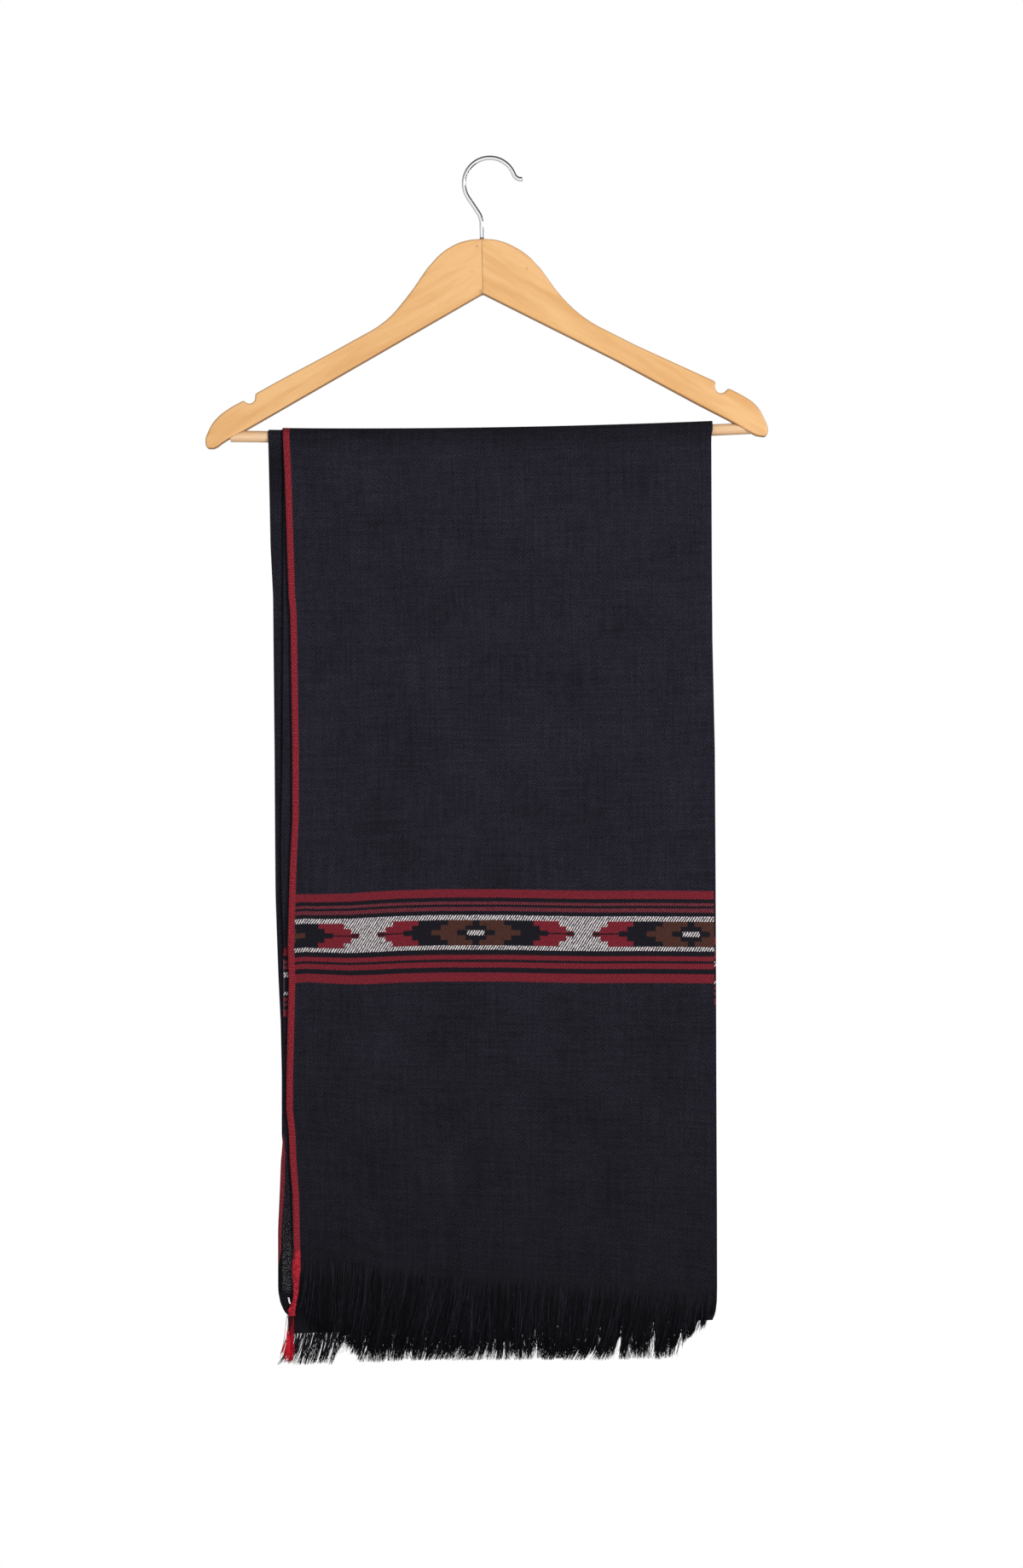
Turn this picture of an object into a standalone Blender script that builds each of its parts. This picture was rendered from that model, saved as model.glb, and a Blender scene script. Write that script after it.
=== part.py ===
"""A large dark shawl, folded lengthways and hung over the bar of a wooden trouser hanger.

Units are metres, with +Z up, +X to the right and the front facing -Y. The origin is the underside of
the hook's crown, where a rail carries it. Heights in the tables are mm below that point.
"""

import math
import random

import bmesh
import bpy
import numpy as np
from mathutils import Matrix, Vector

MM = 0.001
GAP = 0.3 * MM

# The hanger leans a little: its right end is higher.
TILT = math.radians(0.9)
WIRE_RADIUS = 1.75 * MM
CROWN_RADIUS = 20.5 * MM
STEM_SINK = 14 * MM
ARM_THICK = 12 * MM
ARM_EDGE = 1.3 * MM
BAR_RADIUS = 4.6 * MM
BAR_DOWN = 216.6 * MM
BAR_LEFT = -209 * MM
BAR_RIGHT = 207 * MM
BAR_SAG = 3.2 * MM

# The cloth: one outer layer, and the layers that it hides as one solid.
LEAF = 1.0 * MM
FOLDS = 1.2 * MM
FOLDS_RADIUS = BAR_RADIUS + GAP + FOLDS / 2
LEAF_RADIUS = FOLDS_RADIUS + FOLDS / 2 + GAP + LEAF / 2
LAYER_ROUND = 0.25 * MM
ROUNDED_END = 0.55
COLUMNS = 13
SWAY = 1.1 * MM
BACK_DOWN = 888 * MM
BACK_TURN_IN = 8 * MM

# Fringes and tassel.
FRINGE_STRIP = 2.2 * MM
LOCK_ROOT = 1.9 * MM
FRONT_LOCKS = 112
SECOND_LOCKS = 108

# Edges of the layers at each height: mm below the crown, then mm left or right of it.
# down, outer fold left, second layer left, leaf left, leaf right, folds right
EDGES = (
    (205, -175.1, -165.0, -164.6, 178.0, 177.2),
    (215, -175.1, -165.0, -164.4, 177.8, 177.0),
    (222, -175.0, -164.9, -164.0, 175.8, 175.2),
    (250, -174.7, -164.2, -162.9, 176.0, 175.6),
    (360, -171.2, -164.2, -158.4, 176.6, 176.2),
    (470, -170.2, -164.8, -156.6, 177.4, 178.8),
    (550, -169.7, -166.3, -158.0, 177.8, 179.3),
    (625, -168.0, -166.6, -160.3, 178.0, 179.7),
    (727, -164.3, -163.0, -161.2, 178.4, 180.0),
    (775, -164.3, -163.2, -159.4, 178.6, 180.2),
    (840, -167.4, -166.2, -155.4, 178.9, 180.5),
    (896, -168.0, -167.0, -155.0, 179.2, 180.6),
    (907, -166.0, -165.0, -155.0, 179.2, 180.4),
    (914, -162.8, -161.8, -155.0, 179.2, 179.6),
    (918, -159.8, -158.8, -155.0, 179.2, 178.6),
    (920, -154.8, -153.8, -155.0, 179.2, 177.6),
    (934, -153.8, -152.6, -155.0, 179.2, 172.6),
)
# Lower edge of the outer leaf, and of the second end behind it: mm across, mm below the crown.
FRONT_HEM = ((-165, 873.6), (-98, 880.5), (-10, 884.6), (45, 889.3), (85, 894.0), (153, 900.8), (180, 907.0))
SECOND_HEM = ((-168, 932.5), (-98, 931.0), (-10, 928.6), (85, 925.2), (181, 921.6))
# Length of the locks along each fringe: mm across, mm long.
FRONT_FRINGE = ((-165, 33), (-98, 35), (-10, 36), (85, 35), (153, 30), (180, 17))
SECOND_FRINGE = ((-168, 22), (-120, 20), (-98, 22), (-10, 22), (85, 26), (153, 28), (166, 15), (181, 8))

# Outlines of the arms in the hanger's own plane: mm across, mm up, how the outline passes the point.
ARM_LEFT = (
    (-7.05, -63.2, "corner"),
    (-19.3, -64.5, "smooth"),
    (-30.0, -68.3, "smooth"),
    (-43.0, -77.6, "smooth"),
    (-67.4, -108.9, "smooth"),
    (-84.2, -127.0, "smooth"),
    (-110.7, -142.6, "smooth"),
    (-173.6, -175.4, "smooth"),
    (-188.7, -183.6, "corner"),
    (-189.8, -189.4, "smooth"),
    (-194.6, -191.1, "smooth"),
    (-198.0, -188.6, "corner"),
    (-210.5, -195.4, "smooth"),
    (-219.4, -202.3, "smooth"),
    (-225.8, -211.3, "smooth"),
    (-228.8, -222.8, "smooth"),
    (-226.6, -226.2, "smooth"),
    (-211.8, -219.6, "smooth"),
    (-150.0, -186.2, "smooth"),
    (-94.6, -156.2, "smooth"),
    (-7.05, -106.7, "corner"),
)
ARM_RIGHT = (
    (-6.75, -63.2, "corner"),
    (5.1, -64.5, "smooth"),
    (17.0, -69.0, "smooth"),
    (32.0, -79.6, "smooth"),
    (57.2, -112.0, "smooth"),
    (74.1, -127.5, "smooth"),
    (97.2, -140.9, "smooth"),
    (158.9, -171.2, "smooth"),
    (176.9, -179.6, "corner"),
    (176.5, -185.2, "smooth"),
    (181.0, -188.9, "smooth"),
    (187.0, -185.1, "corner"),
    (199.5, -191.8, "smooth"),
    (208.2, -198.4, "smooth"),
    (214.2, -207.9, "smooth"),
    (217.4, -221.4, "smooth"),
    (214.6, -223.7, "smooth"),
    (186.8, -210.2, "smooth"),
    (96.9, -160.6, "smooth"),
    (-6.75, -106.7, "corner"),
)
STEM_X = -6.9 * MM
STEM_TOP = -63.2 * MM


def srgb(red, green, blue):
    """The linear colour of an 8-bit screen colour."""
    values = [v / 255 for v in (red, green, blue)]
    return [v / 12.92 if v <= 0.04045 else ((v + 0.055) / 1.055) ** 2.4 for v in values] + [1.0]


def collection(name):
    made = bpy.data.collections.new(name)
    bpy.context.scene.collection.children.link(made)
    return made


for old in list(bpy.data.objects):
    bpy.data.objects.remove(old, do_unlink=True)
PARTS = collection("folded_shawl_on_hanger")
CUTTERS = collection("cutters")

tilt = bpy.data.objects.new("hanger_tilt", None)
tilt.rotation_euler = (0, -TILT, 0)
PARTS.objects.link(tilt)


def spread(first, last, fraction):
    return first + (last - first) * fraction


def sag(x):
    """How far the load bends the bar down."""
    return BAR_SAG * (1 - (x / BAR_RIGHT) ** 2)


def material(name, colour, roughness, metallic=0.0):
    made = bpy.data.materials.new(name)
    made.use_nodes = True
    shader = made.node_tree.nodes["Principled BSDF"]
    shader.inputs["Base Color"].default_value = srgb(*colour)
    shader.inputs["Roughness"].default_value = roughness
    shader.inputs["Metallic"].default_value = metallic
    return made


def add(name, data, look, parent=None):
    made = bpy.data.objects.new(name, data)
    made.data.materials.append(look)
    made.parent = parent
    PARTS.objects.link(made)
    return made


def mesh_from(bm, name):
    bmesh.ops.recalc_face_normals(bm, faces=bm.faces)
    made = bpy.data.meshes.new(name)
    bm.to_mesh(made)
    bm.free()
    made.shade_smooth()
    made.set_sharp_from_angle(angle=math.radians(35))
    return made


# Hanger


def arm(name, outline, look, cutters):
    """A flat arm from its outline, with softened edges, cut where the stem and the bar enter it."""
    joint = outline[0][0] * MM
    curve = bpy.data.curves.new(name, "CURVE")
    curve.dimensions = "2D"
    curve.fill_mode = "BOTH"
    curve.extrude = ARM_THICK / 2
    curve.resolution_u = 4
    spline = curve.splines.new("BEZIER")
    spline.bezier_points.add(len(outline) - 1)
    spline.use_cyclic_u = True
    for point, (across, up, kind) in zip(spline.bezier_points, outline):
        point.co = (across * MM, up * MM, 0)
        handle = "VECTOR" if kind == "corner" else "AUTO"
        point.handle_left_type = handle
        point.handle_right_type = handle
    flat = bpy.data.objects.new(name + "_outline", curve)
    CUTTERS.objects.link(flat)
    bpy.context.view_layer.update()
    board = bpy.data.meshes.new_from_object(flat.evaluated_get(bpy.context.evaluated_depsgraph_get()))
    bpy.data.objects.remove(flat, do_unlink=True)
    bm = bmesh.new()
    bm.from_mesh(board)
    bmesh.ops.remove_doubles(bm, verts=bm.verts, dist=0.00001)
    bmesh.ops.dissolve_limit(bm, angle_limit=math.radians(1), verts=bm.verts, edges=bm.edges)
    sharp = [e for e in bm.edges if e.calc_face_angle(0) > math.radians(50)]
    open_edges = [e for e in sharp if any(abs(v.co.x - joint) > 0.01 * MM for v in e.verts)]
    bmesh.ops.bevel(bm, geom=open_edges, offset=ARM_EDGE, affect="EDGES", segments=2, profile=0.5)
    bmesh.ops.rotate(bm, verts=bm.verts, cent=(0, 0, 0), matrix=Matrix.Rotation(math.pi / 2, 3, "X"))
    made = add(name, mesh_from(bm, name), look, tilt)
    for cutter in cutters:
        cut = made.modifiers.new("cut_" + cutter.name, "BOOLEAN")
        cut.operation = "DIFFERENCE"
        cut.object = cutter
    return made


def tube(name, route, radius, resolution):
    """A round rod or wire along points of the hanger's own plane."""
    curve = bpy.data.curves.new(name, "CURVE")
    curve.dimensions = "3D"
    curve.bevel_depth = radius
    curve.bevel_resolution = resolution
    curve.use_fill_caps = True
    spline = curve.splines.new("POLY")
    spline.points.add(len(route) - 1)
    for point, (across, up) in zip(spline.points, route):
        point.co = (across, 0, up, 1)
    return curve


def cutter(name, curve):
    """A tube made a closed mesh, which cuts its shape out of the arms."""
    guide = bpy.data.objects.new(name + "_guide", curve)
    CUTTERS.objects.link(guide)
    bpy.context.view_layer.update()
    loose = bpy.data.meshes.new_from_object(guide.evaluated_get(bpy.context.evaluated_depsgraph_get()))
    bpy.data.objects.remove(guide, do_unlink=True)
    bm = bmesh.new()
    bm.from_mesh(loose)
    bmesh.ops.remove_doubles(bm, verts=bm.verts, dist=0.00001)
    made = bpy.data.objects.new(name, mesh_from(bm, name))
    made.parent = tilt
    made.hide_render = True
    made.display_type = "WIRE"
    CUTTERS.objects.link(made)
    return made


def bend(point, heading, radius, turn, steps):
    """Points along an arc that starts at a point with a heading; a positive turn is anticlockwise."""
    side = math.copysign(1, turn)
    points = []
    for step in range(1, steps + 1):
        now = heading + turn * step / steps
        across = side * radius * (math.sin(now) - math.sin(heading))
        up = -side * radius * (math.cos(now) - math.cos(heading))
        points.append((point[0] + across, point[1] + up))
    return points, heading + turn


def hook_route():
    """The wire's centreline, from the bottom of the stem over the crown to the flared tip."""
    crown = (0.0, WIRE_RADIUS)
    right, heading = bend(crown, 0, CROWN_RADIUS, math.radians(-70), 8)
    flare, _ = bend(right[-1], heading, 6 * MM, math.radians(80), 6)
    left, heading = bend(crown, math.pi, CROWN_RADIUS, math.radians(123), 14)
    slope = 13.6 * MM
    corner = (left[-1][0] + slope * math.cos(heading), left[-1][1] + slope * math.sin(heading))
    knee, _ = bend(corner, heading, 18 * MM, math.radians(-33), 4)
    foot = (knee[-1][0], STEM_TOP - STEM_SINK)
    tip_first = list(reversed(right + flare)) + [crown] + left + [corner] + knee + [foot]
    return list(reversed(tip_first))


def bar_route(extra):
    """The bar's middle line, a little bent, with its ends moved out by an extra length."""
    ends = (BAR_LEFT - extra, BAR_RIGHT + extra)
    return [(x, -BAR_DOWN - sag(x)) for x in (spread(*ends, i / 14) for i in range(15))]


wood = material("wood", (240, 189, 131), 0.5)
bar_wood = material("bar_wood", (231, 189, 147), 0.55)
chrome = material("chrome", (205, 206, 210), 0.18, 1.0)

stem_route = ((STEM_X, STEM_TOP - STEM_SINK - GAP), (STEM_X, STEM_TOP + 10 * MM))
stem_hole = cutter("stem_hole", tube("stem_hole", stem_route, WIRE_RADIUS + GAP, 4))
bar_hole = cutter("bar_hole", tube("bar_hole", bar_route(GAP), BAR_RADIUS + GAP, 6))
arm("hanger_arm_left", ARM_LEFT, wood, (stem_hole, bar_hole))
arm("hanger_arm_right", ARM_RIGHT, wood, (stem_hole, bar_hole))
add("trouser_bar", tube("trouser_bar", bar_route(0), BAR_RADIUS, 6), bar_wood, tilt)
add("hook", tube("hook", hook_route(), WIRE_RADIUS, 2), chrome, tilt)

# Cloth


def read(table, key, column):
    """A table's column at a key, straight between its rows; keys and values are mm, given in m."""
    keys = [row[0] * MM for row in table]
    return float(np.interp(key, keys, [row[column] * MM for row in table]))


def bar_down(x):
    """How far below the crown the bar's middle is."""
    return BAR_DOWN - x * math.tan(TILT) + sag(x)


def sway(x, down, side):
    """How far a drop hangs towards -Y (side -1) or +Y (side 1) of the plane that the bar sets."""
    fall = max(0.0, min(1.0, (down - 0.26) / 0.65))
    wave = math.sin(x * 21 + 0.7 * side) + 0.6 * math.sin(x * 47 + 3.1 * down + side)
    return side * SWAY / 1.6 * fall * wave


def drop_point(x, down, side, radius, depth):
    """A point of a hanging layer; depth is measured outwards from the layer's middle."""
    return Vector((x, side * (radius + depth) + sway(x, down, side), -down))


def turn_point(x, angle, radius, depth):
    """A point of a layer over the bar; the angle runs from the front over the top to the back."""
    out = radius + depth
    return Vector((x, -out * math.cos(angle), -bar_down(x) + out * math.sin(angle)))


def height(x, fraction, lower):
    """How far down a fraction of a drop is, from just below the bar's middle to its lower edge."""
    top = bar_down(x) + GAP / 2
    return top + (lower(x) - top) * fraction


def across(fraction, level, lower, left_column, right_column):
    """Where a column crosses a row of a drop: its place across and its height."""
    x = spread(read(EDGES, 0.6, left_column), read(EDGES, 0.6, right_column), fraction)
    for _ in range(2):
        down = height(x, level, lower)
        x = spread(read(EDGES, down, left_column), read(EDGES, down, right_column), fraction)
    return x, height(x, level, lower)


def sheet(name, rows, thickness, look):
    """A wall of even thickness on a grid of points in its middle."""
    bm = bmesh.new()
    grid = [[bm.verts.new(point) for point in row] for row in rows]
    for upper, lower in zip(grid, grid[1:]):
        for i in range(len(upper) - 1):
            bm.faces.new((upper[i], lower[i], lower[i + 1], upper[i + 1]))
    made = add(name, mesh_from(bm, name), look)
    wall = made.modifiers.new("wall", "SOLIDIFY")
    wall.thickness = thickness
    wall.offset = 0
    wall.use_even_offset = True
    return made


def layered_ring(outer_left, second_left, leaf_right, folds_right, thickness):
    """A section across the folded layers: two rounded folds show at each side, one behind the other.

    It is a ring of (across, depth): the outer face from left to right, the right side, the inner face
    back from right to left, and the left side.
    """
    half = thickness / 2
    outer_left = min(outer_left, second_left - 0.8 * MM) + LAYER_ROUND
    inner_right = min(leaf_right, folds_right) - 0.8 * MM - LAYER_ROUND
    outer_right = max(leaf_right, folds_right) - LAYER_ROUND
    second_left += LAYER_ROUND
    steps = [i / COLUMNS for i in range(COLUMNS + 1)]
    ring = [(spread(second_left, inner_right, step), half) for step in steps]
    ring += [(inner_right + LAYER_ROUND, half / 2), (inner_right, 0)]
    ring += [(outer_right, 0), (outer_right + LAYER_ROUND, -half / 2)]
    ring += [(spread(outer_right, outer_left, step), -half) for step in steps]
    ring += [(outer_left - LAYER_ROUND, -half / 2), (outer_left, 0)]
    ring += [(second_left, 0), (second_left - LAYER_ROUND, half / 2)]
    return ring


def folds_section(down, thickness):
    """The section of the folded layers at a height."""
    return layered_ring(*(read(EDGES, down, column) for column in (1, 2, 4, 5)), thickness)


def layered(name, rings, look):
    """A solid through rings of points in the order of layered_ring, closed at both ends."""
    bm = bmesh.new()
    loops = [[bm.verts.new(point) for point in ring] for ring in rings]
    for one, two in zip(loops, loops[1:]):
        for i in range(len(one)):
            j = (i + 1) % len(one)
            bm.faces.new((one[i], one[j], two[j], two[i]))
    for end in (loops[0], loops[-1]):
        outer = end[: COLUMNS + 1]
        inner = end[2 * COLUMNS + 5 : COLUMNS + 4 : -1]
        for i in range(COLUMNS):
            bm.faces.new((outer[i], outer[i + 1], inner[i + 1], inner[i]))
        bm.faces.new(end[COLUMNS : COLUMNS + 6])
        bm.faces.new(end[2 * COLUMNS + 5 :] + end[:1])
    return add(name, mesh_from(bm, name), look)


def drop_leaf(name, side, lower, levels, look, turned_in=False):
    """The outer layer of one drop; the back one turns in under the folds at mid-length."""
    rows = []
    for level in levels:
        row = []
        for i in range(COLUMNS + 1):
            x, down = across(i / COLUMNS, level, lower, 3, 4)
            row.append(drop_point(x, down, side, LEAF_RADIUS, 0))
        rows.append(row)
    if turned_in:
        middle = (LEAF_RADIUS - FOLDS_RADIUS) * side
        for step in range(1, 6):
            angle = math.pi * step / 5
            shift = Vector((0, -middle * (1 - math.cos(angle)), -abs(middle) * math.sin(angle)))
            rows.append([point + shift for point in rows[len(levels) - 1]])
        rows.append([point + Vector((0, 0, BACK_TURN_IN)) for point in rows[-1]])
    return sheet(name, rows, LEAF, look)


def drop_folds(name, side, lower, levels, look, rounded=False):
    """The hidden layers of one drop."""
    rings = []
    for level in levels:
        thickness = FOLDS * ROUNDED_END if rounded and level == levels[-1] else FOLDS
        ring = []
        for x, depth in folds_section(height(0, level, lower), thickness):
            ring.append(drop_point(x, height(x, level, lower), side, FOLDS_RADIUS, depth))
        rings.append(ring)
    return layered(name, rings, look)


def turn_leaf(look):
    rows = []
    for step in range(13):
        angle = math.pi * step / 12
        row = []
        for i in range(COLUMNS + 1):
            x = spread(read(EDGES, BAR_DOWN, 3), read(EDGES, BAR_DOWN, 4), i / COLUMNS)
            row.append(turn_point(x, angle, LEAF_RADIUS, 0))
        rows.append(row)
    return sheet("turn_leaf", rows, LEAF, look)


def turn_folds(look):
    section = folds_section(BAR_DOWN, FOLDS)
    rings = []
    for step in range(13):
        angle = math.pi * step / 12
        rings.append([turn_point(x, angle, FOLDS_RADIUS, depth) for x, depth in section])
    return layered("turn_folds", rings, look)


def front_hem(x):
    return read(FRONT_HEM, x, 1)


def second_hem(x):
    return read(SECOND_HEM, x, 1)


def back_fold(x):
    return BACK_DOWN - x * math.tan(TILT)


def back_folds_end(x):
    return back_fold(x) - GAP


def fringe(name, row, hem, lengths, radius, thickness, seed, look):
    """A narrow strip just below a hem, with a row of tapered locks fused to it."""
    left, right, locks = row
    rng = random.Random(seed)
    bm = bmesh.new()
    pitch = (right - left) / (locks - 1)
    edges = [left - LOCK_ROOT / 2]
    for i in range(locks - 1):
        edges += [left + i * pitch + LOCK_ROOT / 2, left + (i + 1) * pitch - LOCK_ROOT / 2]
    edges.append(right + LOCK_ROOT / 2)
    half = thickness / 2
    posts = []
    for x in edges:
        top = hem(x) + GAP
        low = top + FRINGE_STRIP
        corners = ((top, half), (low, half), (low, -half), (top, -half))
        posts.append([bm.verts.new(drop_point(x, down, -1, radius, depth)) for down, depth in corners])
    bm.faces.new(posts[0])
    bm.faces.new(posts[-1])
    for number, (one, two) in enumerate(zip(posts, posts[1:])):
        for i in (0, 2, 3):
            j = (i + 1) % 4
            bm.faces.new((one[i], one[j], two[j], two[i]))
        if number % 2 == 1:
            bm.faces.new((one[1], one[2], two[2], two[1]))
            continue
        root = (one[1], one[2], two[2], two[1])
        middle = sum((vert.co for vert in root), Vector()) / 4
        length = read(lengths, middle.x, 1) * rng.uniform(0.86, 1.0)
        lean = 0.9 * MM * math.sin(middle.x * 90) - 1.5 * MM + rng.uniform(-0.3, 0.3) * MM
        tip_down = -middle.z + length
        tip = []
        for vert in root:
            x = middle.x + lean + (vert.co.x - middle.x) * 0.5
            depth = half * 0.6 * (1 if vert in (one[1], two[1]) else -1)
            tip.append(bm.verts.new(drop_point(x, tip_down, -1, radius, depth)))
        for i in range(4):
            j = (i + 1) % 4
            bm.faces.new((root[i], root[j], tip[j], tip[i]))
        bm.faces.new(tip)
    return add(name, mesh_from(bm, name), look)


def corner_tassel(look):
    """The selvedge's narrow tongue below the hem, ending in a small tassel."""
    # down, left, right, in mm; the last row is where the strands start
    tongue = ((875.6, -155.9, -150.6), (895, -155.4, -151.2), (906, -155.6, -152.6), (917, -159.2, -154.4))
    half = LEAF * 0.45
    rings = []
    for down, left, right in tongue:
        corners = ((left, half), (right, half), (right, -half), (left, -half))
        rings.append([drop_point(x * MM, down * MM, -1, LEAF_RADIUS, depth) for x, depth in corners])
    bm = bmesh.new()
    loops = [[bm.verts.new(point) for point in ring] for ring in rings]
    last = loops[-1]
    strands = 5
    share = [last[0].co.lerp(last[1].co, i / (2 * strands - 1)) for i in range(2 * strands)]
    front = [last[0]] + [bm.verts.new(point) for point in share[1:-1]] + [last[1]]
    behind = last[2].co - last[1].co
    back = [last[3]] + [bm.verts.new(point + behind) for point in share[1:-1]] + [last[2]]
    bm.faces.new(loops[0])
    for one, two in zip(loops, loops[1:-1]):
        for i in range(4):
            j = (i + 1) % 4
            bm.faces.new((one[i], one[j], two[j], two[i]))
    above = loops[-2]
    bm.faces.new([above[0], above[1]] + list(reversed(front)))
    bm.faces.new([above[3], above[2]] + list(reversed(back)))
    bm.faces.new((above[0], front[0], back[0], above[3]))
    bm.faces.new((above[1], front[-1], back[-1], above[2]))
    for i in range(2 * strands - 1):
        root = (front[i], front[i + 1], back[i + 1], back[i])
        if i % 2:
            bm.faces.new(root)
            continue
        fan = (i / (strands - 1) - 1) * 1.6 * MM - 1.6 * MM
        fall = Vector((fan, 0, -36 * MM))
        middle = sum((vert.co for vert in root), Vector()) / 4
        tip = [bm.verts.new(middle + fall + (vert.co - middle) * 0.8) for vert in root]
        for k in range(4):
            n = (k + 1) % 4
            bm.faces.new((root[k], root[n], tip[n], tip[k]))
        bm.faces.new(tip)
    return add("corner_tassel", mesh_from(bm, "corner_tassel"), look)


cloth = material("cloth", (36, 35, 44), 0.9)
cloth_inner = material("cloth_inner", (30, 29, 36), 0.92)
fringe_look = material("fringe", (20, 20, 25), 0.95)
tassel_look = material("tassel_red", (182, 59, 74), 0.85)

drop_levels = [i / 16 for i in range(17)]
corner_levels = [i / 18 for i in range(17)] + [0.927, 0.957, 0.972, 0.984, 0.992, 1.0]
drop_leaf("front_leaf", -1, front_hem, drop_levels, cloth)
drop_folds("front_folds", -1, second_hem, corner_levels, cloth_inner)
turn_leaf(cloth)
turn_folds(cloth_inner)
drop_leaf("back_leaf", 1, back_fold, drop_levels, cloth, turned_in=True)
drop_folds("back_folds", 1, back_folds_end, drop_levels, cloth_inner, rounded=True)
front_row = (-148.5 * MM, 177.5 * MM, FRONT_LOCKS)
second_row = (-152.0 * MM, 171.0 * MM, SECOND_LOCKS)
fringe("front_fringe", front_row, front_hem, FRONT_FRINGE, LEAF_RADIUS, LEAF * 0.9, 4, fringe_look)
fringe("second_fringe", second_row, second_hem, SECOND_FRINGE, FOLDS_RADIUS, FOLDS, 9, fringe_look)
corner_tassel(tassel_look)
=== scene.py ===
"""A large dark shawl with a woven border, folded and hung over the bar of a wooden trouser hanger.

Metres, +Z up, the front facing -Y. The origin is the underside of the hook's crown.
"""

import math
import random

import bmesh
import bpy
import numpy as np
from mathutils import Matrix, Vector


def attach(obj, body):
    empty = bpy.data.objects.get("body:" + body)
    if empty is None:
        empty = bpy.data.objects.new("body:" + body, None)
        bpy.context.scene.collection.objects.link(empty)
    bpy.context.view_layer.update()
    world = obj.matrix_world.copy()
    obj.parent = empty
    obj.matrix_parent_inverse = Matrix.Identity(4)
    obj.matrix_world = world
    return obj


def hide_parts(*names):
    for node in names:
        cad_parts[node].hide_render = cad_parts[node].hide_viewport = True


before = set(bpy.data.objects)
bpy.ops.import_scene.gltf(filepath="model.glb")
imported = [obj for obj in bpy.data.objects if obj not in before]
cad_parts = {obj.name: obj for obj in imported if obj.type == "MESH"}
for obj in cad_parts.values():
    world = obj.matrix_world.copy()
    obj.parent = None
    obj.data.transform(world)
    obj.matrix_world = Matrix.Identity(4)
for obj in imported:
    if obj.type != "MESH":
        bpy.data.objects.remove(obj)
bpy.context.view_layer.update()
MM = 0.001

# Camera, studio and floor.
# The camera stands square to the hanging shawl, 3 m away, with the shawl's middle at eye height.
# Two round diffusers light it from the right and from behind, over a plain pale floor.
EYE_PLACE = (0.0176, -3.0, -0.4963)
FOCAL_LENGTH = 86.6
SENSOR_TALL = 36
SHAWL_MIDDLE = Vector((0, 0, -0.45))
FLOOR_DOWN = 1.4
FLOOR_RADIUS = 1.2

eye = bpy.data.cameras.new("camera")
eye.sensor_fit = "VERTICAL"
eye.sensor_height = SENSOR_TALL
eye.lens = FOCAL_LENGTH
camera = bpy.data.objects.new("camera", eye)
camera.location = EYE_PLACE
camera.rotation_euler = (math.radians(90), 0, 0)
bpy.context.scene.collection.objects.link(camera)
bpy.context.scene.camera = camera
bpy.context.scene.view_settings.view_transform = "Standard"


def soft_light(name, place, size, power):
    """A round diffuser aimed at the middle of the shawl."""
    lamp = bpy.data.lights.new(name, "AREA")
    lamp.shape = "DISK"
    lamp.size = size
    lamp.energy = power
    made = bpy.data.objects.new(name, lamp)
    made.location = place
    made.rotation_euler = (SHAWL_MIDDLE - Vector(place)).to_track_quat("-Z", "Y").to_euler()
    made.visible_camera = False
    bpy.context.scene.collection.objects.link(made)


soft_light("softbox_right", (2.4, -2.6, 0.5), 0.45, 75)
soft_light("softbox_behind", (0.4, 3.4, 0.2), 0.8, 50)


def srgb(red, green, blue):
    """A screen colour as the shader's linear one."""
    steps = [v / 255 for v in (red, green, blue)]
    return [v / 12.92 if v <= 0.04045 else ((v + 0.055) / 1.055) ** 2.4 for v in steps] + [1.0]


def finish(name, roughness):
    """A new material; its shader and its node tree."""
    made = bpy.data.materials.new(name)
    made.use_nodes = True
    surface = made.node_tree.nodes["Principled BSDF"]
    surface.inputs["Roughness"].default_value = roughness
    return made, surface, made.node_tree


def node(tree, kind, inputs=(), **settings):
    """A shader node, with numbers set on its sockets and other nodes' outputs linked to them."""
    made = tree.nodes.new("ShaderNode" + kind)
    for name, value in settings.items():
        setattr(made, name, value)
    for name, value in dict(inputs).items():
        if isinstance(value, bpy.types.NodeSocket):
            tree.links.new(value, made.inputs[name])
        else:
            made.inputs[name].default_value = value
    return made


def solid_place(tree):
    """A piece's own coordinates in metres."""
    return node(tree, "TexCoord").outputs["Object"]


def maths(tree, operation, *values):
    """The result of one sum on numbers or other nodes' results."""
    return node(tree, "Math", dict(enumerate(values)), operation=operation).outputs[0]


def mapped(tree, value, low, high, first=0.0, last=1.0, **settings):
    """A value brought from one range to another, and held inside it."""
    ranges = {"Value": value, "From Min": low, "From Max": high, "To Min": first, "To Max": last}
    return node(tree, "MapRange", ranges, **settings).outputs[0]


def blend(tree, share, first, second, how="MIX"):
    """One colour laid over another by a share from 0 to 1."""
    inputs = {0: share, 6: first, 7: second}
    return node(tree, "Mix", inputs, data_type="RGBA", blend_type=how).outputs[2]


def ramp(tree, value, stops, steps="LINEAR"):
    """A colour for each value from 0 to 1: stops are (place, colour)."""
    made = node(tree, "ValToRGB", {0: value})
    band = made.color_ramp
    band.interpolation = steps
    band.elements[0].position, band.elements[0].color = stops[0]
    band.elements[1].position, band.elements[1].color = stops[-1]
    for place, colour in stops[1:-1]:
        added = band.elements.new(place)
        added.color = colour
    return made.outputs[0]


def grey_stops(*pairs):
    """Plain greys for a ramp: pairs are (place, grey)."""
    return [(place, (grey, grey, grey, 1)) for place, grey in pairs]


def noise(tree, place, scale, detail=2.0, rough=0.5):
    """Soft random values from 0 to 1."""
    inputs = {"Vector": place, "Scale": scale, "Detail": detail, "Roughness": rough}
    return node(tree, "TexNoise", inputs).outputs[0]


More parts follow.
